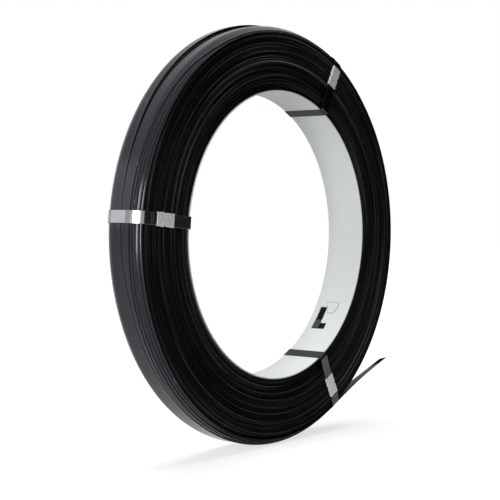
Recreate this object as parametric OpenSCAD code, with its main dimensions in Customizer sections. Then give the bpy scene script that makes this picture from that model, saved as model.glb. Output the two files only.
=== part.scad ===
// Steel strapping coil: black steel strap wound in oscillated layers on a white ring, and bound by
// three ties, each closed by a crimped seal. The coil's axis is Y and its front side faces -Y.
// The origin is the centre of the bore, and the coil stands on its rim with +Z up.

/* [Strap] */
// Width of the wound strap
strap_w = 25.4; // [19:0.1:32]
// Thickness of the wound strap
strap_t = 0.8; // [0.5:0.05:1]
// Length of the strap's free outer end
tail_l = 156; // [100:1:220]
// How far the free end springs outwards from the tangent, in degrees
tail_spring = 9.5; // [4:0.5:14]
// How far the free end twists along its length, in degrees
tail_twist = 32.5; // [0:0.5:36]

/* [Coil] */
// Diameter of the winding's bore
bore_d = 406.4; // [380:0.2:430]
// Outside diameter over the crown of the rim
coil_d = 594; // [560:1:640]
// Width of the winding from side to side
coil_w = 62; // [54:1:76]
// Turns that step down at each shoulder of the rim
shoulder_turns = 5; // [3:1:6]
// Width of one such step
shoulder_step_w = 3.2; // [2:0.1:4]
// How far the shoulders drop from the crown to the side
shoulder_drop = 10.4; // [6:0.2:14]
// Radial spacing of the passes that show on each side
pass_pitch = 5.2; // [4:0.1:8]
// Depth of the deepest groove between those passes
groove_d = 2.4; // [0.6:0.1:4]

/* [Liner] */
// Thickness of the white liner
liner_t = 1.5; // [0.8:0.1:3]
// Length of the window along the liner
window_l = 41; // [30:1:50]
// Width of the window's upper part
window_w = 12; // [6:0.5:14]
// Width of the window's foot
window_foot_w = 23; // [16:0.5:28]
// Length of the window's foot along the liner
window_foot_l = 12; // [8:0.5:16]

/* [Ties] */
// Width of a tie
tie_w = 16; // [12:0.5:19]
// Thickness of a tie
tie_t = 0.6; // [0.4:0.05:0.8]
// Length over which a tie's two ends lie on each other
tie_lap = 46; // [40:1:56]
// Radius of a tie's loose bend round the front edge of the bore
front_bend_r = 4; // [2:0.5:6]
// Radius of its tighter bend round the back edge
back_bend_r = 1.2; // [0.8:0.2:2]

/* [Seals] */
// Length of a seal along its tie
seal_l = 31; // [26:1:38]
// Thickness of the seal's sheet
seal_t = 0.9; // [0.5:0.1:1.2]
// Width of the slit between the seal's folded flanges
seal_slit = 5; // [2:0.5:8]
// Length of a crimp notch in the seal's edge
crimp_l = 3; // [2:0.5:5]

/* [Hidden] */
$fn = 180;

// Where each tie crosses the coil, as an angle about the axis from +X towards +Z
left_angle = 174.5;
upper_angle = 62;
lower_angle = -62.5;
// How far the middle of each seal lies outside the middle of the coil's side
left_seal_shift = 5;
upper_seal_shift = 16;
lower_seal_shift = 9;

bore_r = bore_d / 2;
coil_r = coil_d / 2;
half_w = coil_w / 2;
side_r = coil_r - shoulder_drop;
crown_half_w = half_w - shoulder_turns * shoulder_step_w;
liner_r = bore_r - liner_t;
side_middle_r = (bore_r + side_r) / 2;
gap = 0.1;

black_steel = [0.06, 0.06, 0.07];
blued_steel = [0.2, 0.22, 0.23];
zinc = [0.72, 0.73, 0.72];
white_board = [0.88, 0.9, 0.89];

// Points of an arc, from one angle to another
function arc(centre, r, from, to, steps) =
    [for (i = [0 : steps]) let (a = from + (to - from) * i / steps) centre + r * [cos(a), sin(a)]];

function unit(v) = v / norm(v);
function left_of(v) = [-v.y, v.x];
function reversed(list) = [for (i = [len(list) - 1 : -1 : 0]) list[i]];

// The path moved to its left by a distance, with its corners mitred
function beside(path, distance) =
    [for (i = [0 : len(path) - 1])
        let (before = left_of(unit(path[max(i, 1)] - path[max(i, 1) - 1])),
             after = left_of(unit(path[min(i, len(path) - 2) + 1] - path[min(i, len(path) - 2)])),
             middle = unit(before + after))
        path[i] + distance / (middle * after) * middle];

// Half of the winding's section as [radius, y], from the bore out along one side to the crown.
// The strap wanders from side to side as it is wound. Where its turns reach the side they make a
// land, and where they are away they leave a narrow groove. Neighbouring grooves differ in depth.
passes = floor((side_r - bore_r) / pass_pitch);
land = (side_r - bore_r) / passes;
groove_w = 2 * strap_t;
function pass_depth(i) = groove_d * (0.7 + 0.3 * sin(i * 137));
side_points = [for (i = [0 : passes - 1]) let (r = bore_r + i * land)
    each [[r, half_w], [r + land - groove_w, half_w], [r + land - groove_w / 2, half_w - pass_depth(i)]]];

// The turns at a shoulder are a stair whose steps drop more and more towards the side.
function stair_r(k) = coil_r - shoulder_drop * pow(k / shoulder_turns, 1.7);
function stair_y(k) = crown_half_w + k * shoulder_step_w;
stair_points = [for (k = [shoulder_turns : -1 : 1])
    each [[stair_r(k), stair_y(k)], [stair_r(k), stair_y(k - 1)]]];
stair_corners = [for (k = [shoulder_turns : -1 : 0]) [stair_r(k), stair_y(k)]];

// A seam in the crown, where two passes of the strap lie side by side
seam_y = -1.7;
seam_points = [[coil_r, seam_y + strap_t / 2], [coil_r - strap_t, seam_y + strap_t / 2],
               [coil_r - strap_t, seam_y - strap_t / 2], [coil_r, seam_y - strap_t / 2]];
half_section = concat(side_points, stair_points, [[coil_r, crown_half_w]]);
function other_side(points) = reversed([for (p = points) [p.x, -p.y]]);

module turned(points) {
    rotate([90, 0, 0])
        rotate_extrude()
            polygon([for (p = points) [p.x, -p.y]]);
}

// The free end leaves the crown beside the lower tie. It springs off the tangent, and once clear of
// the crown it twists.
tail_steps = 16;
tail_y = -14;
tail_root_r = coil_r - strap_t / 2;
tail_root_angle = lower_angle + asin((tie_w / 2 + strap_t) / coil_r);
spring_l = 30;
function sprung(s) = 1 - exp(-s / spring_l);
function tail_dir(s) = tail_root_angle + 90 - tail_spring * sprung(s);
function tail_point(i) = i == 0
    ? tail_root_r * [cos(tail_root_angle), sin(tail_root_angle)]
    : let (a = tail_dir((i - 0.5) * tail_l / tail_steps))
        tail_point(i - 1) + tail_l / tail_steps * [cos(a), sin(a)];

// The four corners of the strap's section at one step along the free end
function tail_ring(i) =
    let (s = i * tail_l / tail_steps, p = tail_point(i), a = tail_dir(s), twist = tail_twist * pow(sprung(s), 2),
         outwards = [sin(a), -cos(a)])
    [for (c = [[-strap_w / 2, 0], [strap_w / 2, 0], [strap_w / 2, strap_t], [-strap_w / 2, strap_t]])
        let (y = c.x * cos(twist) - c.y * sin(twist), n = c.x * sin(twist) + c.y * cos(twist))
        [p.x + n * outwards.x, tail_y + y, p.y + n * outwards.y]];

module strap_tail() {
    last = 4 * tail_steps;
    walls = [for (i = [0 : tail_steps - 1], k = [0 : 3])
        let (a = 4 * i + k, b = 4 * i + (k + 1) % 4)
        each [[a, b, b + 4], [a, b + 4, a + 4]]];
    polyhedron([for (i = [0 : tail_steps]) each tail_ring(i)],
               concat([[3, 2, 1, 0]], walls, [[last, last + 1, last + 2, last + 3]]));
}

module strap_coil() {
    color(black_steel) {
        turned(concat(half_section, seam_points, other_side(half_section)));
        strap_tail();
    }
}

// A window shaped as an L is cut through the liner near its back edge, low on the right. It is
// drawn as [distance along the liner, y], and its foot is at the lower end.
window_start_angle = -34.5;
window_back = 20.5;
window_angle = window_start_angle - window_l / 2 / liner_r * 180 / PI;
window_depth = 8 * liner_t;

module liner_window() {
    arm = window_back - window_w;
    foot = window_back - window_foot_w;
    rotate([0, -window_angle, 0])
        translate([liner_r - window_depth / 2, 0, 0])
            rotate([0, 90, 0])
                linear_extrude(window_depth)
                    polygon([[-window_l / 2, window_back], [-window_l / 2, arm],
                             [window_l / 2 - window_foot_l, arm], [window_l / 2 - window_foot_l, foot],
                             [window_l / 2, foot], [window_l / 2, window_back]]);
}

module core_liner() {
    color(white_board)
        difference() {
            turned([[liner_r, -half_w], [bore_r, -half_w], [bore_r, half_w], [liner_r, half_w]]);
            liner_window();
        }
}

// A tie passes flat through the bore, so its edges come nearest to the round liner.
tie_bore_r = sqrt(pow(liner_r, 2) - pow(tie_w / 2, 2)) - gap;

// Heights over the coil's front side of the tie's inner end, of its outer end and of the seal's top
inner_end_h = gap + seal_t + gap;
outer_end_h = inner_end_h + tie_t + gap;
seal_top_h = outer_end_h + tie_t + gap + seal_t;
ramp_l = 6;
back_ramp_l = 12;

// Points given by their height over the coil's front side
function front(points) = [for (p = points) [p.x, -half_w - p.y]];

// Bend round an edge of the bore, from the coil's back side in, or from the bore out to the front
function back_bend() = arc([tie_bore_r + back_bend_r, half_w + gap], back_bend_r, 90, 180, 4);
function front_bend() = arc([tie_bore_r + front_bend_r, -half_w - gap], front_bend_r, 180, 270, 8);

// The face of a tie that lies on the coil, as an open path in [radius, y]. It starts at the inner end
// in the seal, runs out over the rim and back through the bore, and ends on top of where it began.
function tie_path(seal_r) = concat(
    front([[seal_r - tie_lap / 2, inner_end_h],
           [seal_r + seal_l / 2 + gap, inner_end_h],
           [seal_r + seal_l / 2 + ramp_l, gap]]),
    [for (p = stair_corners) [p.x + gap, -p.y - gap]],
    [for (p = reversed(stair_corners)) [p.x + gap, p.y + gap]],
    [[tie_bore_r + back_ramp_l, half_w + gap]],
    back_bend(),
    front_bend(),
    front([[seal_r - tie_lap / 2 - tie_t, outer_end_h], [seal_r + tie_lap / 2, outer_end_h]]));

module tie(angle, seal_r) {
    path = tie_path(seal_r);
    color(blued_steel)
        rotate([0, -angle, 0])
            translate([0, 0, -tie_w / 2])
                linear_extrude(tie_w)
                    polygon(concat(path, reversed(beside(path, -tie_t))));
}

// A seal's section is a sleeve folded from one sheet round both ends of the tie. Its flanges meet
// short of each other on the side towards the coil, and its folds are round.
inner_seal_w = tie_w + 2 * gap;
seal_w = inner_seal_w + 2 * seal_t;
fold_r = 1.2 * seal_t;

function seal_outline() =
    let (x = seal_w / 2 - fold_r, low = -gap - fold_r, high = -seal_top_h + fold_r)
    concat(arc([x, low], fold_r, 90, 0, 4), arc([x, high], fold_r, 0, -90, 4),
           arc([-x, high], fold_r, -90, -180, 4), arc([-x, low], fold_r, 180, 90, 4));

module seal_section() {
    difference() {
        polygon(seal_outline());
        translate([-inner_seal_w / 2, seal_t - seal_top_h])
            square([inner_seal_w, seal_top_h - gap - 2 * seal_t]);
        translate([-seal_slit / 2, seal_t - seal_top_h])
            square([seal_slit, seal_top_h]);
    }
}

module seal(angle, seal_r) {
    color(zinc)
        rotate([0, -angle, 0])
            translate([seal_r, -half_w, 0])
                difference() {
                    rotate([0, 90, 0])
                        linear_extrude(seal_l, center = true)
                            seal_section();
                    for (side = [-1, 1])
                        translate([0, 0, side * seal_w / 2])
                            rotate([90, 0, 0])
                                cylinder(h = 2 * seal_top_h, r = crimp_l / 2, center = true, $fn = 24);
                }
}

module tie_left() { tie(left_angle, side_middle_r + left_seal_shift); }
module tie_upper() { tie(upper_angle, side_middle_r + upper_seal_shift); }
module tie_lower() { tie(lower_angle, side_middle_r + lower_seal_shift); }
module seal_left() { seal(left_angle, side_middle_r + left_seal_shift); }
module seal_upper() { seal(upper_angle, side_middle_r + upper_seal_shift); }
module seal_lower() { seal(lower_angle, side_middle_r + lower_seal_shift); }

strap_coil();
core_liner();
tie_left();
tie_upper();
tie_lower();
seal_left();
seal_upper();
seal_lower();
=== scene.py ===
# %% [markdown]
# # A coil of steel strapping
# Steel strap is sold wound on a ring, as a coil that stands on its rim. This scene dresses such a
# coil: the strap is wound to and fro over a white liner, three ties hold it, each tie is closed by a
# crimped seal, and the strap's outer end springs free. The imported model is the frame. It gives the
# sizes and places, and every new piece is worked out in that frame, in metres, about the coil's
# axis Y.

import math

import bpy
import numpy as np
from mathutils import Matrix, Vector


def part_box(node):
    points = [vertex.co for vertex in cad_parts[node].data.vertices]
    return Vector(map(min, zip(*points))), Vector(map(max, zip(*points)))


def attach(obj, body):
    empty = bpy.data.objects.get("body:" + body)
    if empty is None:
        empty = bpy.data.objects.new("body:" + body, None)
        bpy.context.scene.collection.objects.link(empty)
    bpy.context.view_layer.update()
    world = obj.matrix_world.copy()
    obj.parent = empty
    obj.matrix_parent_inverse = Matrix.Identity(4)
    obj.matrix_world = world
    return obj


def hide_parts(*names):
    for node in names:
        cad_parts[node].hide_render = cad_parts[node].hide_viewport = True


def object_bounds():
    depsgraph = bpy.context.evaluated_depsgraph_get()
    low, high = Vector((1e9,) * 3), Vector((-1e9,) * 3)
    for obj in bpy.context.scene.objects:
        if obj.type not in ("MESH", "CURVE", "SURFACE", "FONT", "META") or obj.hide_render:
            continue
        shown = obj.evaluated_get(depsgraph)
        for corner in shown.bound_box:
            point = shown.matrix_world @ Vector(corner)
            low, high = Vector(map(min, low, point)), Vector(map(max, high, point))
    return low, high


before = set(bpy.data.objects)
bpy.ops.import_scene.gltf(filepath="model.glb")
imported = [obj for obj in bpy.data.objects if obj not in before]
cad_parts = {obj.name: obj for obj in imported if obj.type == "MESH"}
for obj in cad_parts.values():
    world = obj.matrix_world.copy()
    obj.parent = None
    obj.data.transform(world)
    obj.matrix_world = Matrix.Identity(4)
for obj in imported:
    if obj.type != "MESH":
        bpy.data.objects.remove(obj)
cad_box = [list(corner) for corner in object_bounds()]
print("CAD box", cad_box)

# %% [markdown]
# ## Sizes
# A learner should be able to change one size and see the whole coil follow. So the driving sizes come
# first, and what the frame knows is read from it: the liner gives the coil's width and bore.

# %% Sizes of the coil and its strap
MM = 0.001
liner_high = np.array(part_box("core_liner")[1])
HALF_W = liner_high[1]
BORE_R = liner_high[0]
LINER_T = 1.5 * MM
CROWN_R = 297 * MM
SHOULDER_DROP = 10.4 * MM
SHOULDER_POWER = 1.7
CROWN_HALF_W = 15 * MM
STRAP_W = 25.4 * MM
STRAP_T = 0.8 * MM
OUTER_TURNS = 7
STEPS_A_TURN = 288
GAP = 0.1 * MM
LOWER_TIE, UPPER_TIE, LEFT_TIE = -62.5, 62.0, 174.5
TIE_W = 16 * MM
TIE_T = 0.6 * MM
SEAL_L = 31 * MM
SEAL_T = 0.9 * MM
print(f"coil {2 * HALF_W / MM:.1f} mm wide on a bore of {2 * BORE_R / MM:.1f} mm")

# %% [markdown]
# ## From arrays to pieces
# Every piece here is a grid of points: one direction runs along the strap, the other round its
# section. A closed section and two end faces make it a watertight solid. A helper joins neighbouring
# points into faces once, so the shape functions only have to say where the points are.


# %% Grid helpers
SHARP_ANGLE = 28


def grid_faces(rows, columns):
    """Four-cornered faces between neighbouring points of a grid whose columns close into a ring."""
    i, j = np.meshgrid(np.arange(rows - 1), np.arange(columns), indexing="ij")
    a = i * columns + j
    b = i * columns + (j + 1) % columns
    return np.stack([a, b, b + columns, a + columns], axis=-1).reshape(-1, 4)


def grid_uv(along, around):
    """Corner coordinates in metres for grid_faces: u along the rows, v round the section."""
    rows, columns = len(along), len(around) - 1
    i, j = np.meshgrid(np.arange(rows - 1), np.arange(columns), indexing="ij")
    u = np.stack([along[i], along[i], along[i + 1], along[i + 1]], axis=-1)
    v = np.stack([around[j], around[j + 1], around[j + 1], around[j]], axis=-1)
    return np.stack([u, v], axis=-1).reshape(-1, 2)


def running_length(points):
    """The length along a row of points, from the first point to each of them."""
    return np.concatenate([[0], np.cumsum(np.linalg.norm(np.diff(points, axis=0), axis=1))])


def signed_volume(grid):
    """Twice the volume inside a tube of points, positive where its faces point outwards.

    Each slice between two rows adds its step forward, dotted with the section's area vector."""
    middle = grid.mean(axis=1)
    arms = grid - middle[:, None, :]
    area = np.cross(arms, np.roll(arms, -1, axis=1)).sum(axis=1)
    step = np.gradient(middle, axis=0)
    return -np.einsum("ij,ij->", area, step)


def grid_mesh(name, grid):
    """A closed mesh from a grid, which is an array (rows, columns, 3) whose columns close.

    The first and the last row are closed by one face each. The UV map holds metres along the strap
    and metres round its section, and stays at zero on the two end faces."""
    if signed_volume(grid) < 0:
        grid = grid[:, ::-1]
    rows, columns = grid.shape[:2]
    quads = grid_faces(rows, columns)
    ring = np.concatenate([grid[rows // 2], grid[rows // 2][:1]])
    uvs = grid_uv(running_length(grid.mean(axis=1)), running_length(ring))
    first_cap = np.arange(columns)[::-1]
    last_cap = np.arange((rows - 1) * columns, rows * columns)
    sizes = np.concatenate([np.full(len(quads), 4), [columns, columns]])
    corners = np.concatenate([quads.ravel(), first_cap, last_cap])
    mesh = bpy.data.meshes.new(name)
    mesh.vertices.add(rows * columns)
    mesh.vertices.foreach_set("co", grid.reshape(-1, 3).astype(np.float32).ravel())
    mesh.loops.add(len(corners))
    mesh.loops.foreach_set("vertex_index", corners.astype(np.int32))
    mesh.polygons.add(len(sizes))
    mesh.polygons.foreach_set("loop_start", (np.cumsum(sizes) - sizes).astype(np.int32))
    corner_uv = np.zeros((len(corners), 2), dtype=np.float32)
    corner_uv[:len(uvs)] = uvs
    mesh.uv_layers.new(name="UVMap").data.foreach_set("uv", corner_uv.ravel())
    mesh.update(calc_edges=True)
    mesh.validate()
    return mesh


def new_piece(name, grid, nodes, smooth=True):
    """A solid from a grid, which rides on the coil and stands for the named nodes of the model.

    A smooth one is shaded without breaks, except at edges that bend by more than the sharp angle."""
    mesh = grid_mesh(name, grid)
    if smooth:
        mesh.shade_smooth()
        mesh.set_sharp_from_angle(angle=math.radians(SHARP_ANGLE))
    piece = bpy.data.objects.new(name, mesh)
    bpy.context.scene.collection.objects.link(piece)
    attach(piece, "root")
    if nodes:
        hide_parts(*nodes)
    print(f"{name}: {len(mesh.polygons)} faces")
    return piece


def around_axis(radius, y, angle):
    """Points at a radius and a place along the axis, with the angle in degrees from +X towards +Z."""
    a = np.radians(angle)
    return np.stack(np.broadcast_arrays(radius * np.cos(a), y, radius * np.sin(a)), axis=-1)


def strap_section(width, thickness, bevel):
    """The section of a flat strap, as points (sideways, up) in a ring, with its corners cut off."""
    half, b, t = width / 2, bevel, thickness
    return np.array([(-half + b, 0), (-half, b), (-half, t - b), (-half + b, t), (0, t),
                     (half - b, t), (half, t - b), (half, b), (half - b, 0), (0, 0)])


print(f"shading breaks at edges of more than {SHARP_ANGLE} degrees")

# %% [markdown]
# ## The coil's rim
# The winder lays the last turns down as one strap that moves from the near side towards the middle.
# Each turn leaves a strip of the one below uncovered, which is what the rim shows. So the outer turns
# are one spiral ribbon, whose near edge follows a few places along it. A smooth curve through those
# places keeps the strap free of kinks.


# %% Where the outer strap lies
# Each place is an angle in degrees, and there the near edge in millimetres from the coil's middle.
END_ANGLE = -60.8 + 360
START_ANGLE = END_ANGLE - 360 * OUTER_TURNS
TWO_TURNS = END_ANGLE - 720
FIRST_EDGE = -31
EDGE_WOBBLE = 0.9
EDGE_SMOOTHING = 4
NEAR_EDGE_PLACES = np.array([
    (TWO_TURNS, -18), (-360, -24), (-300, -27), (-242, -26), (-229, -21.5), (-210, -18),
    (-194, -14.5), (-180, -14.4), (-166, -12.4), (-152, -12.8), (-110, -9), (-60.6, -4), (0, 3),
    (60, 5.3), (115, 5.5), (129, 5.4), (140, 4.6), (150, 2.7), (176, 0), (186, -1.8), (194, -6),
    (207, -6), (217, -7), (END_ANGLE, -23.7)])
STAIR_PLACES = np.array([(0, -24), (60, -27), (118, -26), (131, -21.5), (150, -18), (166, -14.5),
                         (180, -14.4), (194, -12.4), (208, -12.8), (250, -15), (299.2, -18), (360, -24)])


def bell_weights(width):
    """Weights that sum to one and fall off on both sides as a bell curve that many steps wide."""
    bell = np.exp(-0.5 * (np.arange(-3 * width, 3 * width + 1) / width) ** 2)
    return bell / bell.sum()


def smoothed(values, width):
    """Each value becomes the mean of its neighbours by those weights. The ends repeat outwards."""
    padded = np.concatenate([np.full(3 * width, values[0]), values, np.full(3 * width, values[-1])])
    return np.convolve(padded, bell_weights(width), mode="valid")


def near_edge(angle):
    """The strap's near edge, in metres along the axis, at an angle counted on through every turn.

    The last two turns follow the listed places, joined by straight lines and then smoothed. Each turn
    before them keeps the shape of the stair and lies nearer to the side by an equal share, give or
    take a slow wobble."""
    fine = np.arange(START_ANGLE - 1, END_ANGLE + 1, 1.0)
    stair = np.interp(fine % 360, STAIR_PLACES[:, 0], STAIR_PLACES[:, 1])
    back = (TWO_TURNS - fine) / 360
    share = np.clip(1 - back / (OUTER_TURNS - 2), 0, 1)
    wobble = EDGE_WOBBLE * np.sin(back * 5.1) * np.clip(4 * share * (1 - share), 0, 1)
    early = FIRST_EDGE + (stair - FIRST_EDGE) * share + wobble
    late = np.interp(fine, NEAR_EDGE_PLACES[:, 0], NEAR_EDGE_PLACES[:, 1])
    places = np.where(fine < TWO_TURNS, early, late)
    return np.interp(angle, fine, smoothed(places, EDGE_SMOOTHING)) * MM


def cad_shoulder(y):
    """The rim's profile: flat in the middle, then falling as a power of the way to each side."""
    out = np.clip((np.abs(y) - CROWN_HALF_W) / (HALF_W - CROWN_HALF_W), 0, None)
    return CROWN_R - SHOULDER_DROP * out ** SHOULDER_POWER


LAY_SOFTNESS = 0.9 * MM
SHOULDER_SHIFT = 1.7 * MM
BED_SMOOTHING = 4
BED_CLEARANCE = 0.45 * MM
across = np.linspace(-HALF_W, HALF_W, 125)


def bed_table():
    """The rim's profile under the outer turns, for each whole degree and each place across.

    It lies below the shoulder by the number of the highest turn that passes over that place, in
    thicknesses. A turn's cover rises softly across its near edge, because the strap above bends over
    that edge, and the table is averaged over some degrees so that no turn steps abruptly. On the near
    side the profile is read a little further out, which lowers the shoulder there."""
    angle = START_ANGLE + np.arange(360)[:, None] + 360 * np.arange(OUTER_TURNS)[None, :]
    over = (across[None, None, :] - near_edge(angle)[:, :, None]) / LAY_SOFTNESS
    cover = 1 / (1 + np.exp(-np.clip(over, -30, 30)))
    turns_over = np.zeros_like(cover[:, 0])
    for turn in range(OUTER_TURNS):
        turns_over += cover[:, turn] * (turn + 1 - turns_over)
    turns_over += 1
    reach = 3 * BED_SMOOTHING
    wrapped = np.concatenate([turns_over[-reach:], turns_over, turns_over[:reach]])
    mean = sum(weight * wrapped[i:i + 360] for i, weight in enumerate(bell_weights(BED_SMOOTHING)))
    profile = cad_shoulder(np.where(across < 0, across - SHOULDER_SHIFT, across))
    return profile[None, :] - BED_CLEARANCE - mean * STRAP_T


BED = bed_table()


def bed(row, y):
    """The bed at a whole degree counted from the start, on the straight line between two places."""
    place = np.clip((y + HALF_W) / (across[1] - across[0]), 0, len(across) - 1.001)
    low = place.astype(int)
    part = place - low
    return BED[row % 360, low] * (1 - part) + BED[row % 360, low + 1] * part


print(f"under the outer turns the radius is {BED.min() / MM:.1f} to {BED.max() / MM:.1f} mm")


# %% [markdown]
# ## The ribbon
# A ribbon's section is a thin rectangle with its corners cut off, bent over the rim's profile. The
# cut corners matter more than their size says: they are what catches the light along each edge.


# %% Ribbon along the rim
EDGE_LIP = 1.2 * MM
CROWDING = 1.5


def ribbon(row, near, far, sink=0.0, cuts=14, bevel=0.16 * MM):
    """A strap on the rim as a grid: a row for each degree from the start, columns round its section.

    Its bottom follows the bed at each place across, raised by one thickness a turn, and its top is
    one thickness further out. Steel strap is too stiff to bend right over its edge, so near that edge
    the top stays as high as a lip's width further in. The outermost points are drawn in as a bevel,
    and the columns crowd towards the near edge, where the bed is steepest. The sink, one for each
    row, lowers the strap."""
    t = np.linspace(0, 1, cuts)[None, :] ** CROWDING
    y = near[:, None] * (1 - t) + far[:, None] * t
    lift = (row / 360 * STRAP_T - sink)[:, None]
    low = bed(row[:, None], y) + lift
    high = bed(row[:, None], np.maximum(y, near[:, None] + EDGE_LIP)) + lift
    shift = np.zeros(cuts)
    shift[0], shift[-1] = bevel, -bevel
    top_y, top_r = y + shift, high + STRAP_T
    side_r = low[:, [-1, -1]] + np.array([STRAP_T - bevel, bevel])
    near_r = np.stack([low[:, 0] + bevel, high[:, 0] + STRAP_T - bevel], axis=1)
    radius = np.concatenate([top_r, side_r, low[:, ::-1], near_r], axis=1)
    place = np.concatenate([top_y, y[:, [-1, -1]], top_y[:, ::-1], y[:, [0, 0]]], axis=1)
    return around_axis(radius, place, (START_ANGLE + row)[:, None])


print(f"a ribbon is drawn for {OUTER_TURNS} turns of {STRAP_W / MM:.1f} mm strap")

# %% [markdown]
# All the outer turns are one ribbon. Beside the wide gap near the top, the turns under the last one
# lie lower, because there the rim is not filled up to them. Lowering them is what makes the gap dark.

# %% Outer strap
GAP_DEPTH = 3.4 * MM
GAP_FROM, GAP_TO = 66, 168
GAP_FADE_IN, GAP_FADE_OUT = 30, 45
LAST_TURN_ROW = 360 * (OUTER_TURNS - 1)


def sink_beside_gap(row):
    """How much lower each row lies, in metres, beside the gap.

    It fades in and out over some degrees and grows with each turn. The last turn lies on top."""
    place = (START_ANGLE + row) % 360
    fade_out = np.clip((GAP_TO - place) / GAP_FADE_OUT, 0, 1)
    fade_in = np.clip((place - GAP_FROM) / GAP_FADE_IN, 0, 1)
    return np.where(row > LAST_TURN_ROW, 0, GAP_DEPTH * (fade_out * fade_in) * row / LAST_TURN_ROW)


turn_row = np.arange(OUTER_TURNS * 360 + 1)
turn_near = near_edge(START_ANGLE + turn_row)
rim_strap = ribbon(turn_row, turn_near, turn_near + STRAP_W, sink_beside_gap(turn_row))
print(f"outer strap {np.radians(len(turn_row) - 1) * CROWN_R:.2f} m long")

# %% [markdown]
# Beside that strap, the far half of the rim is filled by the pass before it. Near the top the outer
# turn lies away from it, and a wide dark gap shows between them. So each filling strap starts where
# the strap beside it ends, or at the outer turn's edge where that is further over.

# %% Filling passes on the far side
SEAM = 0.6 * MM
FILL_MARGIN, FILL_WANDER, FILL_DRIFT = 0.5, 0.4, 0.37
fill_row = turn_row[:LAST_TURN_ROW + 1]
fill_angle = START_ANGLE + fill_row
outer_near = near_edge(END_ANGLE - 360 + fill_row % 360)
fill_near = np.maximum(near_edge(fill_angle) + STRAP_W, outer_near) + SEAM
fill_far = HALF_W - (FILL_MARGIN + FILL_WANDER * np.sin(np.radians(fill_angle) * FILL_DRIFT)) * MM
rim_fill = ribbon(fill_row, fill_near, fill_far, cuts=10)
print(f"the filling passes are {(fill_far - fill_near).min() / MM:.1f} mm wide at least")

# %% [markdown]
# ## The body of the winding
# Under the rim the strap fills the whole width. On each side its turns reach the face, wander away
# from it and come back, once in about ten turns, so the face shows rings of fine lines with narrow
# grooves between them. The recess is a function of the turn's number counted on through the angle,
# which makes the grooves drift round the coil as real ones do.


# %% Where each turn's edges lie
BODY_TURNS = int((BED.max(axis=1).min() - BORE_R) / STRAP_T) - 1
TRAVERSE = 10.6
GROOVE_HALF_W = 0.9
GROOVE_DEPTH, GROOVE_VARIES = 2.3, 1.2
TURN_FILL = 0.97


def recess(turns, phase):
    """How far the winding's edge stands back from the face, in metres.

    Most of the way through a traverse the edge stays at the face, with a small jitter from turn to
    turn. Near its end the strap is away, and the edge stands back by a narrow bell-shaped amount
    whose depth differs between neighbouring traverses. The sines have frequencies that share no
    beat, so nothing repeats to the eye. Widths are in turns and depths in millimetres."""
    cycle = turns / TRAVERSE + phase + 0.22 * np.sin(turns * 0.11 + 5 * phase)
    away = np.exp(-((cycle - np.round(cycle)) * TRAVERSE / GROOVE_HALF_W) ** 2)
    depth = GROOVE_DEPTH + GROOVE_VARIES * np.sin(np.round(cycle) * 2.4 + 3 * phase)
    jitter = 0.25 * np.sin(turns * 2.9 + phase) + 0.2 * np.sin(turns * 7.3 + 2) + 0.45
    return (jitter + depth * away) * MM


def body_turns(first, last):
    """Turns from first to last as one spiral grid of four-cornered sections.

    Its radius grows by one thickness a turn. Both edges stand back by the recess, and near the rim
    they also stay inside the lowest bed of the outer turns."""
    turns = np.linspace(first, last, (last - first) * STEPS_A_TURN + 1)
    low = BORE_R + turns * STRAP_T
    high = low + TURN_FILL * STRAP_T
    lowest, top = BED.min(axis=0), BED.min(axis=0).argmax()
    near_limit = np.interp(high, np.maximum.accumulate(lowest[:top + 1]), across[:top + 1])
    far_limit = np.interp(-high, np.maximum.accumulate(-lowest[top:]), across[top:])
    near = np.maximum(-HALF_W + recess(turns, 0.0), near_limit)
    far = np.minimum(HALF_W - recess(turns, 0.4), far_limit)
    radius = np.stack([high, high, low, low], axis=1)
    place = np.stack([near, far, far, near], axis=1)
    return around_axis(radius, place, (turns * 360)[:, None])


inner_turns = body_turns(0, BODY_TURNS // 2)
outer_body = body_turns(BODY_TURNS // 2, BODY_TURNS)
print(f"{BODY_TURNS} turns under the rim, {len(inner_turns) + len(outer_body)} sections")

# %% [markdown]
# ## The free end
# Beyond the lower tie the strap is free. It springs off the tangent within a short length, and then
# twists until the camera looks along its face. The path is the running sum of short steps, each in
# the direction that the strap has there.


# %% Free end of the strap
TAIL_L, TAIL_STEPS = 160 * MM, 60
TAIL_SPRING, TAIL_TWIST, SPRING_L = 9.5, 26.5, 30 * MM
TIP_SLANT = 14 * MM
FLATTEN_L = 24 * MM
TAIL_ROOT_Y, TAIL_TIP_Y = -11 * MM, -15 * MM
END_ROW = 359
DARK_END_FROM = 0.8


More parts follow.
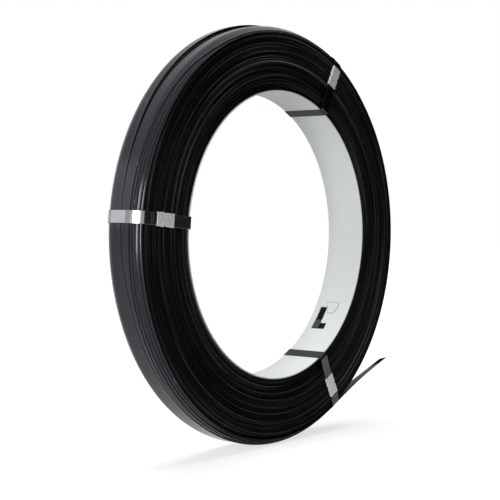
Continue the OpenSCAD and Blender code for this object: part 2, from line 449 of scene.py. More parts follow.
def free_end(thickness=STRAP_T, bevel=0.15 * MM):
    """The free end as a grid. Its direction starts along the rim and turns outwards by the spring,
    its section turns about that direction by the twist, and its last corner is cut off slanting. At
    its root it keeps the rim's curved section, which flattens out as the bell curve of the distance."""
    s = np.linspace(0, TAIL_L, TAIL_STEPS + 1)
    sprung = 1 - np.exp(-s / SPRING_L)
    direction = np.radians(END_ANGLE + 90 - TAIL_SPRING * sprung)
    middle = (direction[1:] + direction[:-1]) / 2
    step = np.stack([np.cos(middle), np.sin(middle)], axis=1) * TAIL_L / TAIL_STEPS
    root = around_axis(np.array(CROWN_R - thickness), np.array(0.0), END_ANGLE)[[0, 2]]
    path = np.concatenate([[root], root + np.cumsum(step, axis=0)])
    outwards = np.stack([np.sin(direction), -np.cos(direction)], axis=1)
    twist = np.radians(TAIL_TWIST) * sprung ** 2
    ring = strap_section(STRAP_W, thickness, bevel)
    u = ring[:, 0][None, :] * np.cos(twist)[:, None] - ring[:, 1] * np.sin(twist)[:, None]
    n = ring[:, 0][None, :] * np.sin(twist)[:, None] + ring[:, 1] * np.cos(twist)[:, None]
    y = u + (TAIL_ROOT_Y + (TAIL_TIP_Y - TAIL_ROOT_Y) * s / TAIL_L)[:, None]
    root_row = np.full(len(ring), END_ROW)
    droop = bed(root_row, y[0]) - bed(root_row, 0 * y[0])
    n = n + droop[None, :] * np.exp(-(s / FLATTEN_L) ** 2)[:, None]
    cut = TIP_SLANT * (0.5 - ring[:, 0] / STRAP_W)
    slant = -cut[None, :] * np.clip(1 - (TAIL_L - s) / (3 * TIP_SLANT), 0, 1)[:, None]
    tangent = np.stack([np.cos(direction), np.sin(direction)], axis=1)
    x = path[:, :1] + n * outwards[:, :1] + slant * tangent[:, :1]
    z = path[:, 1:] + n * outwards[:, 1:] + slant * tangent[:, 1:]
    return np.stack([x, y, z], axis=-1)


tail = free_end()
print(f"the free end reaches x {tail[..., 0].max() / MM:.1f} mm")

# %% [markdown]
# ## The ties
# A tie is one strap that starts in the seal, runs out over the rim, back through the bore, and ends on
# top of where it began. It could be cut from a ring, but then its two ends could not lap. Carried
# along a path it laps as the real one does, and its bends stay round.


# %% Path of a tie
def arc(centre, radius, start, end, count):
    """Points on an arc in the plane of radius and y, between two angles in degrees."""
    a = np.radians(np.linspace(start, end, count))
    return np.stack([centre[0] + radius * np.cos(a), centre[1] + radius * np.sin(a)], axis=1)


INNER_END_H = GAP + SEAL_T + GAP
OUTER_END_H = INNER_END_H + TIE_T + GAP
SEAL_TOP_H = OUTER_END_H + TIE_T + GAP + SEAL_T
SIDE_MIDDLE_R = (BORE_R + CROWN_R - SHOULDER_DROP) / 2
TIE_LAP = 46 * MM
TIE_LEAVES_SEAL = 6 * MM
TIE_RESTS = 12 * MM
BACK_BEND_R, FRONT_BEND_R = 1.2 * MM, 4 * MM
PATH_STEP = 0.7 * MM
TAUT_PLACES = np.array([(286.3, -31.1), (290.3, -27.3), (297.1, -13.5)]) * MM
TIE_BORE_R = math.sqrt((BORE_R - LINER_T) ** 2 - (TIE_W / 2) ** 2) - GAP


def eased(points, passes=2):
    """The path with each corner cut twice at a quarter of its sides, which rounds every bend."""
    for _ in range(passes):
        a, b = points[:-1], points[1:]
        cut = np.stack([0.75 * a + 0.25 * b, 0.25 * a + 0.75 * b], axis=1).reshape(-1, 2)
        points = np.concatenate([points[:1], cut, points[-1:]])
    return points


def even_steps(points, step):
    """The same path with points at even steps along it, on straight lines between the old ones."""
    run = running_length(points)
    fine = np.linspace(0, run[-1], int(run[-1] / step))
    return np.stack([np.interp(fine, run, points[:, k]) for k in range(2)], axis=1)


def tie_path(seal_r):
    """The tie's inner face in the plane of radius and y, from its inner to its outer end.

    It leaves the seal, is drawn taut over the rim's near shoulder by a few places, follows the rim's
    profile, rests on the back side, and comes back through the bore to lap on itself."""
    front, back = -HALF_W - GAP, HALF_W + GAP
    start = np.array([(seal_r - TIE_LAP / 2, -HALF_W - INNER_END_H),
                      (seal_r + SEAL_L / 2, -HALF_W - INNER_END_H),
                      (seal_r + SEAL_L / 2 + TIE_LEAVES_SEAL, front)])
    y = np.linspace(0, back, 16)
    over = np.concatenate([TAUT_PLACES, np.stack([cad_shoulder(y) + GAP, y], axis=1)])
    rest = np.array([(TIE_BORE_R + TIE_RESTS, back)])
    back_bend = arc((TIE_BORE_R + BACK_BEND_R, back), BACK_BEND_R, 90, 180, 6)
    front_bend = arc((TIE_BORE_R + FRONT_BEND_R, front), FRONT_BEND_R, 180, 270, 12)
    end = np.array([(seal_r - TIE_LAP / 2 - TIE_T, -HALF_W - OUTER_END_H),
                    (seal_r + TIE_LAP / 2, -HALF_W - OUTER_END_H)])
    parts = np.concatenate([start, over, rest, back_bend, front_bend, end])
    return even_steps(eased(parts), PATH_STEP)


def turned(points, angle):
    """Points given as (radius, y, sideways) turned about the axis to their angle in degrees."""
    a = math.radians(angle)
    x = points[..., 0] * math.cos(a) - points[..., 2] * math.sin(a)
    z = points[..., 0] * math.sin(a) + points[..., 2] * math.cos(a)
    return np.stack([x, points[..., 1], z], axis=-1)


print(f"a tie with its seal at the side's middle is {running_length(tie_path(SIDE_MIDDLE_R))[-1]:.3f} m long")

# %% [markdown]
# The strap's section is carried along that path. In the seal the crimp narrows it, since the jaws bite
# through the sleeve and both ends at once. The seal's place differs a little from tie to tie, because
# each was tightened by hand.

# %% Tie as a swept strap
CRIMP_DEPTH, CRIMP_REACH, CRIMP_AT = 1.6 * MM, 1.9 * MM, 0.4 * MM


def crimp(s):
    """How deep the crimping jaws bite at a place along the seal, from 0 to 1, as a bell curve."""
    return np.exp(-((s - CRIMP_AT) / CRIMP_REACH) ** 2)


def tie_grid(angle, seal_r, bevel=0.12 * MM):
    """The tie's section carried along its path. Its flat lies across the path's right-hand normal,
    and where both ends lie in the seal the crimp narrows it."""
    path = tie_path(seal_r)
    run = np.gradient(path, axis=0)
    run /= np.linalg.norm(run, axis=1)[:, None]
    outwards = np.stack([run[:, 1], -run[:, 0]], axis=1)
    ring = strap_section(TIE_W, TIE_T, bevel)
    place = path[:, None, :] + ring[None, :, 1:] * outwards[:, None, :]
    bitten = crimp(path[:, 0] - seal_r) * (path[:, 1] < -HALF_W)
    side = ring[:, 0] * (1 - CRIMP_DEPTH / (TIE_W / 2) * bitten)[:, None]
    local = np.stack([place[..., 0], place[..., 1], side], axis=-1)
    return turned(local, angle)


# Each tie has its angle in degrees and the radius at which its seal's middle lies.
TIES = {"left": (LEFT_TIE, SIDE_MIDDLE_R + 5 * MM),
        "upper": (UPPER_TIE, SIDE_MIDDLE_R + 16 * MM),
        "lower": (LOWER_TIE, SIDE_MIDDLE_R + 9 * MM)}
print("ties at", {name: angle for name, (angle, _) in TIES.items()})

# %% [markdown]
# ## The seals
# A seal is a short sleeve folded from sheet round both ends of the tie. The crimping tool bites into
# both of its edges, and the metal beside each bite bulges. So the sleeve's width is a function of the
# place along it: a dip for each bite, with a low swell on both sides of it.


# %% Seal as a folded sleeve
FOLD_R = 1.1 * MM
SLIT = 2.5 * MM
SWELL, SWELL_AT, SWELL_REACH = 0.25 * MM, 4.8 * MM, 2.4 * MM
SWAY, SWAY_L, DENT_L = 0.2 * MM, 3.3 * MM, 4.1 * MM
CRIMP_DENT, HAND_DENT = 0.3, 0.2


def seal_grid(angle, seal_r, seed):
    """A C-shaped section carried along the tie, outer outline first and inner outline back.

    Each outline is a rounded box as wide as twice the half width at that place. The half width dips
    at the crimp, swells on both sides of it and sways a little, and the top is dented at the crimp
    and, less deep, along a slow sine. The seed gives each seal its own sway and dents."""
    s = np.linspace(-SEAL_L / 2, SEAL_L / 2, 49)[:, None]
    swell = np.exp(-((np.abs(s) - SWELL_AT) / SWELL_REACH) ** 2)
    sway = SWAY * np.sin(s / SWAY_L + seed)
    half = TIE_W / 2 + GAP + SEAL_T - CRIMP_DEPTH * crimp(s) + SWELL * swell + sway
    dent = (CRIMP_DENT * crimp(s) + HAND_DENT * np.sin(s / DENT_L + 2 * seed) ** 2) * MM
    corner = np.radians(np.linspace(0, 90, 6))[None, :]
    outlines = []
    for radius in (FOLD_R, FOLD_R - SEAL_T):
        wide = half - FOLD_R
        side = [-SLIT + 0 * s, -wide - radius * np.sin(corner), -wide - radius * np.cos(corner),
                -0.5 * wide, 0 * s]
        low = GAP + FOLD_R - radius
        high = SEAL_TOP_H - FOLD_R
        height = [low + 0 * s, GAP + FOLD_R - radius * np.cos(corner) + 0 * s,
                  high + radius * np.sin(corner) + 0 * s, high + radius - dent, high + radius - dent]
        w = np.concatenate(side, axis=1)
        h = np.concatenate(height, axis=1)
        outlines.append((np.concatenate([w, -w[:, -2::-1]], axis=1),
                         np.concatenate([h, h[:, -2::-1]], axis=1)))
    (outer_w, outer_h), (inner_w, inner_h) = outlines
    w = np.concatenate([outer_w, inner_w[:, ::-1]], axis=1)
    h = np.concatenate([outer_h, inner_h[:, ::-1]], axis=1)
    return turned(np.stack([seal_r + s + 0 * w, -HALF_W - h, w], axis=-1), angle)


print(f"seals {SEAL_L / MM:.0f} mm long, {SEAL_TOP_H / MM:.1f} mm high")

# %% [markdown]
# ## What shows at the liner
# The liner is a ring of white board with a window cut near its back edge. Through the window the first
# turn's rounded end shows, and a tab of the same board lies over the window's upper corner. Both are
# thin plates bent round the bore, so one function makes them.


# %% Thin plates bent round the bore
def bore_plate(angle, near, far, low_r, high_r, slope=0.0):
    """A plate from low_r to high_r, whose edges across are given at each angle. Its side towards
    the axis is narrower by the slope at each edge."""
    low, high = np.broadcast_arrays(low_r, high_r, angle)[:2]
    radius = np.stack([low, low, high, high], axis=1)
    place = np.stack([near + slope, far - slope, far, near], axis=1)
    return around_axis(radius, place, angle[:, None])


BORE_FACE_R = BORE_R - LINER_T
TAB_FROM, TAB_TO = -32, -37.6
TAB_NEAR_PLACES = np.array([(32, -10.7), (35, -10.6), (37.6, -6)])
TAB_FAR_PLACES = np.array([(32, 12.3), (37.4, 5), (37.6, 4.6)])
TAB_SLOPE = 0.7 * MM
TAB_FOOT, TAB_END_T, TAB_T = 0.03 * MM, 0.05 * MM, 0.35 * MM
FIRST_END_FROM, FIRST_END_TO = -41, -45.8
FIRST_END_R, FIRST_END_Y = 5.6 * MM, 14.5 * MM
FIRST_END_LEAST = 0.3 * MM


def tab_grid():
    """The tab, whose edges follow a few places, in degrees below +X and millimetres along the axis.

    Its first and last row are nearly flat, so that all four of its sides slope down to the liner."""
    slope_angle = math.degrees(TAB_SLOPE / BORE_FACE_R)
    inside = np.linspace(TAB_FROM - slope_angle, TAB_TO + slope_angle, 22)
    angle = np.concatenate([[TAB_FROM], inside, [TAB_TO]])
    near = np.interp(-angle, TAB_NEAR_PLACES[:, 0], TAB_NEAR_PLACES[:, 1]) * MM
    far = np.interp(-angle, TAB_FAR_PLACES[:, 0], TAB_FAR_PLACES[:, 1]) * MM
    top = np.full(len(angle), TAB_T)
    top[[0, -1]] = TAB_END_T
    return bore_plate(angle, near, far, BORE_FACE_R - top, BORE_FACE_R - TAB_FOOT, TAB_SLOPE)


def first_end_grid():
    """The first turn's end, a strip whose tip is rounded by the equation of a circle."""
    angle = np.linspace(FIRST_END_FROM, FIRST_END_TO, 30)
    run = np.clip(np.radians(angle[0] - angle) * BORE_R, 0, FIRST_END_R)
    half = np.sqrt(np.clip(FIRST_END_R ** 2 - (FIRST_END_R - run) ** 2, FIRST_END_LEAST ** 2, None))
    return bore_plate(angle, FIRST_END_Y - half, FIRST_END_Y + half,
                      BORE_R - 0.9 * MM, BORE_R - 0.1 * MM)


print(f"the tab is {math.radians(TAB_FROM - TAB_TO) * BORE_FACE_R / MM:.1f} mm long")

# %% [markdown]
# ## Making the pieces
# All shapes are known now. The solids become objects, each hides the node of the model that it
# stands for, and the liner keeps its own node, whose shape is already right.

# %% Pieces
coil_inner = new_piece("coil_inner_turns", inner_turns, ["strap_coil"], smooth=False)
coil_outer = new_piece("coil_outer_turns", outer_body, ["strap_coil"], smooth=False)
rim_piece = new_piece("rim_strap", rim_strap, ["strap_coil"])
fill_piece = new_piece("rim_filling_passes", rim_fill, ["strap_coil"])
tail_piece = new_piece("strap_free_end", tail, ["strap_coil"])
end_piece = new_piece("strap_inner_end", first_end_grid(), ["strap_coil"], smooth=False)
tab_piece = new_piece("liner_tab", tab_grid(), [], smooth=False)
tie_pieces = [new_piece(f"tie_{name}_strap", tie_grid(*place), [f"tie_{name}"])
              for name, place in TIES.items()]
seal_pieces = [new_piece(f"seal_{name}_sleeve", seal_grid(*place, seed), [f"seal_{name}"])
               for seed, (name, place) in enumerate(TIES.items())]
liner_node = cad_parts["core_liner"]
print(f"{len(tie_pieces)} ties, {len(seal_pieces)} seals, and the liner as {liner_node.name}")

# %% [markdown]
# ## Effects that several finishes share
# Strap, ties and seals all show streaks along the metal and soft mottling, at different sizes. Each
# effect is a node group with named inputs, built once, that puts out only a mask.


# %% Streaks and mottling as node groups
def new_group(name, inputs):
    """An empty node group with a vector and some number inputs, and one output called Mask."""
    group = bpy.data.node_groups.new(name, "ShaderNodeTree")
    group.interface.new_socket("Vector", in_out="INPUT", socket_type="NodeSocketVector")
    for socket, value in inputs:
        made = group.interface.new_socket(socket, in_out="INPUT", socket_type="NodeSocketFloat")
        made.default_value = value
    group.interface.new_socket("Mask", in_out="OUTPUT", socket_type="NodeSocketFloat")
    return group, group.nodes.new("NodeGroupInput"), group.nodes.new("NodeGroupOutput")


def streaks_group():
    """Noise pulled long along u and narrow across v. From least to most it is spread over 0 to 1."""
    group, given, out = new_group("strap_streaks", [("Per metre along", 8.0), ("Per metre across", 900.0),
                                                    ("Least", 0.32), ("Most", 0.68)])
    scale = group.nodes.new("ShaderNodeCombineXYZ")
    stretch = group.nodes.new("ShaderNodeVectorMath")
    stretch.operation = "MULTIPLY"
    noise = group.nodes.new("ShaderNodeTexNoise")
    noise.inputs["Scale"].default_value = 1
    noise.inputs["Detail"].default_value = 4
    spread = group.nodes.new("ShaderNodeMapRange")
    link = group.links.new
    link(given.outputs["Least"], spread.inputs["From Min"])
    link(given.outputs["Most"], spread.inputs["From Max"])
    link(given.outputs["Per metre along"], scale.inputs["X"])
    link(given.outputs["Per metre across"], scale.inputs["Y"])
    link(given.outputs["Per metre across"], scale.inputs["Z"])
    link(given.outputs["Vector"], stretch.inputs[0])
    link(scale.outputs[0], stretch.inputs[1])
    link(stretch.outputs[0], noise.inputs["Vector"])
    link(noise.outputs["Fac"], spread.inputs["Value"])
    link(spread.outputs["Result"], out.inputs["Mask"])
    return group


def mottle_group():
    """Cells of uneven size, softened by noise, as in spangle and in rubbed steel."""
    group, given, out = new_group("metal_mottle", [("Per metre", 200.0), ("Softness", 0.5)])
    cells = group.nodes.new("ShaderNodeTexVoronoi")
    cloud = group.nodes.new("ShaderNodeTexNoise")
    cloud.inputs["Detail"].default_value = 5
    grey = group.nodes.new("ShaderNodeSeparateColor")
    blend = group.nodes.new("ShaderNodeMix")
    link = group.links.new
    for texture in (cells, cloud):
        link(given.outputs["Vector"], texture.inputs["Vector"])
        link(given.outputs["Per metre"], texture.inputs["Scale"])
    link(cells.outputs["Color"], grey.inputs["Color"])
    link(given.outputs["Softness"], blend.inputs["Factor"])
    link(grey.outputs["Red"], blend.inputs["A"])
    link(cloud.outputs["Fac"], blend.inputs["B"])
    link(blend.outputs["Result"], out.inputs["Mask"])
    return group


STREAKS, MOTTLE = streaks_group(), mottle_group()
print("groups", STREAKS.name, MOTTLE.name)

# %% [markdown]
# ## Finishes
# A finish is a Principled shader whose colour and roughness run between two values by those masks.
# What is the same all over, such as how metallic it is, stays on the shader's own socket.


# %% Finish builder
BUMP_DISTANCE = 0.2 * MM
SCRATCH_LEAST, SCRATCH_MOST = 0.7, 0.76
EDGE_FACING = 0.8


def finish(name, dark, light, rough, mask, settings, vector="UV", bump=0.0, **shader):
    """A material whose colour runs from dark to light and whose roughness runs over its range."""
    material = bpy.data.materials.new(name)
    material.use_nodes = True
    nodes, link = material.node_tree.nodes, material.node_tree.links.new
    principled = nodes["Principled BSDF"]
    for socket, value in shader.items():
        principled.inputs[socket.replace("_", " ")].default_value = value
    coordinates = nodes.new("ShaderNodeTexCoord")
    group = nodes.new("ShaderNodeGroup")
    group.node_tree = mask
    for socket, value in settings.items():
        group.inputs[socket].default_value = value
    colour = nodes.new("ShaderNodeMix")
    colour.data_type = "RGBA"
    colour.inputs["A"].default_value = (*dark, 1)
    colour.inputs["B"].default_value = (*light, 1)
    roughness = nodes.new("ShaderNodeMapRange")
    roughness.inputs["To Min"].default_value, roughness.inputs["To Max"].default_value = rough
    link(coordinates.outputs[vector], group.inputs["Vector"])
    link(group.outputs["Mask"], colour.inputs["Factor"])
    link(group.outputs["Mask"], roughness.inputs["Value"])
    link(colour.outputs["Result"], principled.inputs["Base Color"])
    link(roughness.outputs["Result"], principled.inputs["Roughness"])
    if bump:
        relief = nodes.new("ShaderNodeBump")
        relief.inputs["Strength"].default_value = bump
        relief.inputs["Distance"].default_value = BUMP_DISTANCE
        link(group.outputs["Mask"], relief.inputs["Height"])
        link(relief.outputs["Normal"], principled.inputs["Normal"])
    return material


def add_scratches(material, colour, along, across):
    """Sparse light scratches over a finish: the same streaks, of which only the highest show."""
    nodes, link = material.node_tree.nodes, material.node_tree.links.new
    principled = nodes["Principled BSDF"]
    before = principled.inputs["Base Color"].links[0].from_socket
    scratches = nodes.new("ShaderNodeGroup")
    scratches.node_tree = STREAKS
    for socket, value in (("Per metre along", along), ("Per metre across", across),
                          ("Least", SCRATCH_LEAST), ("Most", SCRATCH_MOST)):
        scratches.inputs[socket].default_value = value
    over = nodes.new("ShaderNodeMix")
    over.data_type = "RGBA"
    over.inputs["B"].default_value = (*colour, 1)
    link(nodes["Texture Coordinate"].outputs["UV"], scratches.inputs["Vector"])
    link(scratches.outputs["Mask"], over.inputs["Factor"])
    link(before, over.inputs["A"])
    link(over.outputs["Result"], principled.inputs["Base Color"])


def face_data(piece, what):
    """The normal or the centre of each face of a piece, as an array with one row for each face."""
    values = np.empty(len(piece.data.polygons) * 3, dtype=np.float32)
    piece.data.polygons.foreach_get(what, values)
    return values.reshape(-1, 3)


def dress(piece, material, second=None, where=None):
    """Puts a material on a piece, and a second one on the faces that the mask picks."""
    mesh = piece.data
    mesh.materials.clear()
    mesh.materials.append(material)
    if second:
        mesh.materials.append(second)
        mesh.polygons.foreach_set("material_index", where.astype(np.int32))
        print(f"{piece.name}: {second.name} on {where.mean():.0%} of its faces")


print("groups that the finishes use:", [group.name for group in bpy.data.node_groups])

# %% [markdown]
# ## Black strap
# The strap is painted black and waxed. On the rim its flats mirror a little and carry long streaks
# and a few light scratches. Inside the winding the flats are painted darker and mirror less, as
# painted shade in the grooves between turns. The wound edges on the coil's sides are sheared metal,
# dark, with thin light lines painted in as highlights of turns that catch the light. The free end is
# a lighter grey up to a black tip, which is a painted dark reflection of its twisted end, and the
# first turn's end in the window is rubbed.

# %% Strap finishes
LONG_STREAKS = {"Per metre along": 9, "Per metre across": 700}
END_STREAKS = {"Per metre along": 12, "Per metre across": 260}
# Settings of the thin light lines that are painted onto the wound edges as highlights.
EDGE_PAINTED_HIGHLIGHTS = {"Per metre along": 2.5, "Per metre across": 1100, "Least": 0.57, "Most": 0.74}
flats = finish("strap_flats", (0.003, 0.0033, 0.0044), (0.012, 0.0128, 0.0165), (0.13, 0.27),
               STREAKS, LONG_STREAKS, bump=0.05, Specular_IOR_Level=0.32,
               Specular_Tint=(0.86, 0.9, 1, 1))
add_scratches(flats, (0.5, 0.5, 0.53), 30, 900)
# Inside the winding the flats are painted darker and mirror less: painted shade for the grooves between the
# turns.
inner_flats_painted_shade = finish("strap_inner_flats_painted_shade", (0.002, 0.002, 0.0025), (0.008, 0.008, 0.0095), (0.3, 0.45),
                     STREAKS, LONG_STREAKS, Specular_IOR_Level=0.06)
# The light colour of the edges is painted highlight: thin lines where single turns catch the light.
edges = finish("strap_edges_painted_highlights", (0.0008, 0.0008, 0.001), (0.36, 0.36, 0.37), (0.4, 0.55),
               STREAKS, EDGE_PAINTED_HIGHLIGHTS, bump=0.05, Specular_IOR_Level=0.02)
# The tip is painted black and mirrors nothing: a painted dark reflection of the strap's twisted end.
painted_dark_tip = finish("strap_tip_painted_dark_reflection", (0.003, 0.003, 0.003), (0.012, 0.012, 0.013), (0.8, 1.0),
                  STREAKS, END_STREAKS, Specular_IOR_Level=0.0)
free_flat = finish("strap_free_flat", (0.012, 0.012, 0.013), (0.1, 0.1, 0.102), (0.45, 0.6),
                   STREAKS, END_STREAKS, bump=0.05, Specular_IOR_Level=0.08)
worn = finish("strap_worn_end", (0.018, 0.019, 0.017), (0.085, 0.08, 0.07), (0.5, 0.7),
              MOTTLE, {"Per metre": 400, "Softness": 0.7}, Metallic=0.3)
for piece, flat in ((rim_piece, flats), (fill_piece, flats),
                    (coil_inner, inner_flats_painted_shade), (coil_outer, inner_flats_painted_shade)):
    dress(piece, flat, edges, np.abs(face_data(piece, "normal")[:, 1]) > EDGE_FACING)
# The last rows of the free end get the painted dark reflection.
tail_rows = np.arange(len(tail_piece.data.polygons)) // tail.shape[1]
dress(tail_piece, free_flat, painted_dark_tip, tail_rows >= TAIL_STEPS * DARK_END_FROM)
dress(end_piece, worn)
print(f"the last {(1 - DARK_END_FROM) * TAIL_L / MM:.0f} mm of the free end are dark")

# %% [markdown]
# ## Ties, seals and liner
# The left tie is painted lighter and the other two darker, as lit and shaded copies of one steel,
# and inside the bore all three are painted darker still and mirror less, as painted shade there. The
# seals are galvanised, and their zinc shows as light cells of different greys. The liner is coated
# board, nearly white, with a fine fibre, and the sloping edges of its tab are painted dark, as painted
# shade in the cut round the tab.

# %% Tie, seal and liner finishes
RUBBED = {"Per metre": 260, "Softness": 0.8}
FIBRE = {"Per metre": 900, "Softness": 0.8}
BORE_MARGIN = 0.5 * MM
CUT_FACING = 0.97
# Two copies of one tie steel, painted lighter and darker as lit and shaded, and a darker one that is painted
# shade inside the bore.
bright = finish("tie_steel_painted_lit", (0.2, 0.21, 0.215), (0.33, 0.34, 0.345), (0.14, 0.28),
                MOTTLE, RUBBED, bump=0.06, Metallic=1.0)
tie_painted_shade = finish("tie_steel_painted_shade", (0.012, 0.014, 0.014), (0.085, 0.092, 0.09), (0.2, 0.34),
              MOTTLE, {"Per metre": 260, "Softness": 0.7}, bump=0.06, Metallic=1.0)
tie_bore_painted_shade = finish("tie_bore_steel_painted_shade", (0.012, 0.017, 0.016), (0.04, 0.047, 0.045), (0.35, 0.5),
               MOTTLE, RUBBED, bump=0.06, Specular_IOR_Level=0.1)
zinc = finish("seal_zinc_spangle", (0.58, 0.59, 0.58), (0.93, 0.94, 0.92), (0.35, 0.55),
              MOTTLE, {"Per metre": 420, "Softness": 0.45}, bump=0.12, Metallic=0.25)
board = finish("liner_coated_board", (0.66, 0.69, 0.685), (0.74, 0.77, 0.765), (0.55, 0.7),
               MOTTLE, FIBRE, vector="Object", bump=0.04)
# Painted shade for the cut round the tab: its sloping edges are dark board.
tab_edge_painted_shade = finish("liner_tab_edge_painted_shade", (0.1, 0.11, 0.11), (0.25, 0.26, 0.25), (0.8, 0.95),
                   MOTTLE, FIBRE, vector="Object")


def faces_away(piece):
    """Which faces of a plate on the bore look away from the axis, by their normal's radial share."""
    normal, centre = face_data(piece, "normal"), face_data(piece, "center")
    radial = np.abs(normal[:, 0] * centre[:, 0] + normal[:, 2] * centre[:, 2]) / BORE_FACE_R
    return radial < CUT_FACING


# The left tie takes the painted light and the other two the painted shade; faces inside the bore take the
# bore's painted shade.
for piece, outside in zip(tie_pieces, (bright, tie_painted_shade, tie_painted_shade)):
    centre = face_data(piece, "center")
    dress(piece, outside, tie_bore_painted_shade, np.hypot(centre[:, 0], centre[:, 2]) < BORE_R - BORE_MARGIN)
for piece in seal_pieces:
    dress(piece, zinc)
# The tab's sloping edges get the painted shade of the cut.
dress(tab_piece, board, tab_edge_painted_shade, faces_away(tab_piece))
for place in liner_node.material_slots:
    place.material = board
print("materials", [material.name for material in bpy.data.materials])

# %% [markdown]
# ## Camera
# The camera stands to the left of the coil's front side, a little above its middle, and looks level.
# Its place and lens were found by fitting the coil's circles.

# %% Camera
CAMERA_LENS, SENSOR_W = 92.48, 36
CAMERA_PLACE = Vector((-1.4493, -1.1201, 0.0447))
CAMERA_BACK = Vector((-0.7832, -0.6207, 0.0363)).normalized()
camera_right = Vector((-CAMERA_BACK.y, CAMERA_BACK.x, 0)).normalized()
camera_up = CAMERA_BACK.cross(camera_right)
camera_data = bpy.data.cameras.new("camera")
camera_data.lens, camera_data.sensor_width = CAMERA_LENS, SENSOR_W
camera = bpy.data.objects.new("camera", camera_data)
axes = Matrix((camera_right, camera_up, CAMERA_BACK)).transposed().to_4x4()
camera.matrix_world = Matrix.Translation(CAMERA_PLACE) @ axes
bpy.context.scene.collection.objects.link(camera)
bpy.context.scene.camera = camera
print("camera distance", round(CAMERA_PLACE.length, 3))

# %% [markdown]
# ## Floor and light
# The floor is a sheet of grey paper that also glows where it is seen directly, so it looks white and
# still keeps the coil's soft shadow. A broad sun nearly straight above draws that shadow and lights
# the liner's lower half. Three soft lamps at the left light the rim, its shoulder and the liner.
# Black steel shows whatever it mirrors, so a dark card stands where the coil's front side looks, as
# a photographer would place one. It shows in mirror reflections only: the camera doesn't see it, it
# casts no shadow and sends no light back.


# %% Floor, card, lamps and world
FLOOR_Z = cad_box[0][2]
FLOOR_ALBEDO, FLOOR_GLOW, FLOOR_SIZE = 0.36, 0.71, 16
CARD_ALBEDO, CARD_DISTANCE, CARD_HEIGHT = 0.02, 1.6, 0.35
FILL = 0.1


def stage_sheet(name, centre, right, up, width, height, material):
    """A flat sheet about its centre, spanned by two directions."""
    r, u = Vector(right).normalized() * width / 2, Vector(up).normalized() * height / 2
    c = Vector(centre)
    mesh = bpy.data.meshes.new(name)
    mesh.from_pydata([c - r - u, c + r - u, c + r + u, c - r + u], [], [(0, 1, 2, 3)])
    sheet = bpy.data.objects.new(name, mesh)
    mesh.materials.append(material)
    bpy.context.scene.collection.objects.link(sheet)
    return sheet


def seen_directly(nodes, link):
    """A value of 1 for rays from the camera, a mirror or glass, and 0 for light that falls on things."""
    path = nodes.new("ShaderNodeLightPath")
    first, both = nodes.new("ShaderNodeMath"), nodes.new("ShaderNodeMath")
    both.use_clamp = True
    link(path.outputs["Is Camera Ray"], first.inputs[0])
    link(path.outputs["Is Glossy Ray"], first.inputs[1])
    link(first.outputs[0], both.inputs[0])
    link(path.outputs["Is Transmission Ray"], both.inputs[1])
    return both.outputs[0]


def stage_material(name, albedo, roughness):
    """A grey material with no mirror of its own, and its shader."""
    material = bpy.data.materials.new(name)
    material.use_nodes = True
    shader = material.node_tree.nodes["Principled BSDF"]
    shader.inputs["Base Color"].default_value = (albedo, albedo, albedo, 1)
    shader.inputs["Roughness"].default_value = roughness
    shader.inputs["Specular IOR Level"].default_value = 0
    return material, shader


def floor_material():
    """Paper that also glows where it is seen directly, so that the picture shows it white."""
    material, paper = stage_material("floor_paper", FLOOR_ALBEDO, 1)
    nodes, link = material.node_tree.nodes, material.node_tree.links.new
    glow = nodes.new("ShaderNodeEmission")
    share = nodes.new("ShaderNodeMath")
    share.operation = "MULTIPLY"
    share.inputs[1].default_value = FLOOR_GLOW
    both = nodes.new("ShaderNodeAddShader")
    link(seen_directly(nodes, link), share.inputs[0])
    link(share.outputs[0], glow.inputs["Strength"])
    link(paper.outputs[0], both.inputs[0])
    link(glow.outputs[0], both.inputs[1])
    link(both.outputs[0], nodes["Material Output"].inputs["Surface"])
    return material


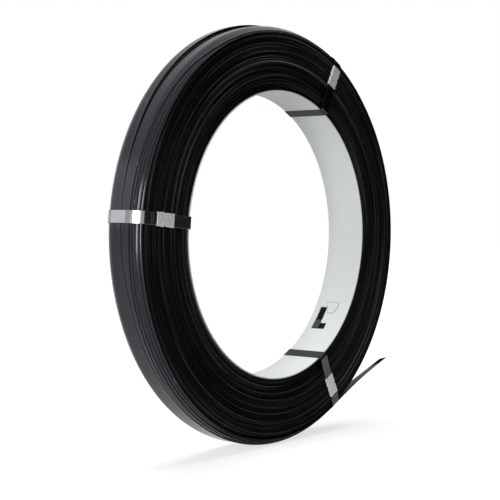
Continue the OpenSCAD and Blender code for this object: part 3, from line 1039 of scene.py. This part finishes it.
stage_sheet("floor", (0, 0, FLOOR_Z), (1, 0, 0), (0, 1, 0), FLOOR_SIZE, FLOOR_SIZE, floor_material())
FACE_MIRRORS = Vector((0.78, -0.62, 0))
card_centre = FACE_MIRRORS * CARD_DISTANCE + Vector((0, 0, CARD_HEIGHT))
card_right = (-FACE_MIRRORS.y, FACE_MIRRORS.x, 0)
card = stage_sheet("dark_card", card_centre, card_right, (0, 0, 1), 4.0, 3.0,
                   stage_material("black_card", CARD_ALBEDO, 0.5)[0])
card.visible_camera = card.visible_shadow = card.visible_diffuse = False


def soft_lamp(name, direction, distance, width, height, glow):
    """An area lamp that looks at the coil. Its glow is how bright it looks, where 1 is white."""
    data = bpy.data.lights.new(name, "AREA")
    data.shape, data.size, data.size_y = "RECTANGLE", width, height
    data.energy = glow * math.pi * width * height
    lamp = bpy.data.objects.new(name, data)
    lamp.location = Vector(direction).normalized() * distance
    lamp.rotation_euler = lamp.location.to_track_quat("Z", "Y").to_euler()
    bpy.context.scene.collection.objects.link(lamp)


def top_light(direction, energy, angle):
    """The broad sun above. It is left out of mirror reflections, where it would draw hard spots."""
    data = bpy.data.lights.new("top", "SUN")
    data.energy, data.angle = energy, angle
    sun = bpy.data.objects.new("top", data)
    sun.rotation_euler = Vector(direction).to_track_quat("Z", "Y").to_euler()
    sun.visible_glossy = False
    bpy.context.scene.collection.objects.link(sun)


def studio_world():
    """A white room where it is seen directly, which lights things only by the fill."""
    world = bpy.data.worlds.new("studio")
    bpy.context.scene.world = world
    world.use_nodes = True
    nodes, link = world.node_tree.nodes, world.node_tree.links.new
    nodes["Background"].inputs["Color"].default_value = (1, 1, 1, 1)
    strength = nodes.new("ShaderNodeMapRange")
    strength.inputs["To Min"].default_value = FILL
    link(seen_directly(nodes, link), strength.inputs["Value"])
    link(strength.outputs["Result"], nodes["Background"].inputs["Strength"])


for name, direction, distance, width, height, glow in (
        ("key", (-0.97, -0.2, 0.1), 2.4, 0.44, 1.5, 17),
        ("rim", (-0.72, 0.69, 0.3), 2.6, 1.1, 1.1, 1.0),
        ("high", (-0.66, -0.5, 0.56), 2.6, 1.0, 1.0, 2.5)):
    soft_lamp(name, direction, distance, width, height, glow)
top_light(direction=(0.08, 0.14, 1), energy=3.0, angle=0.8)
studio_world()
bpy.context.scene.view_settings.view_transform = "Standard"
print("floor at z", FLOOR_Z)
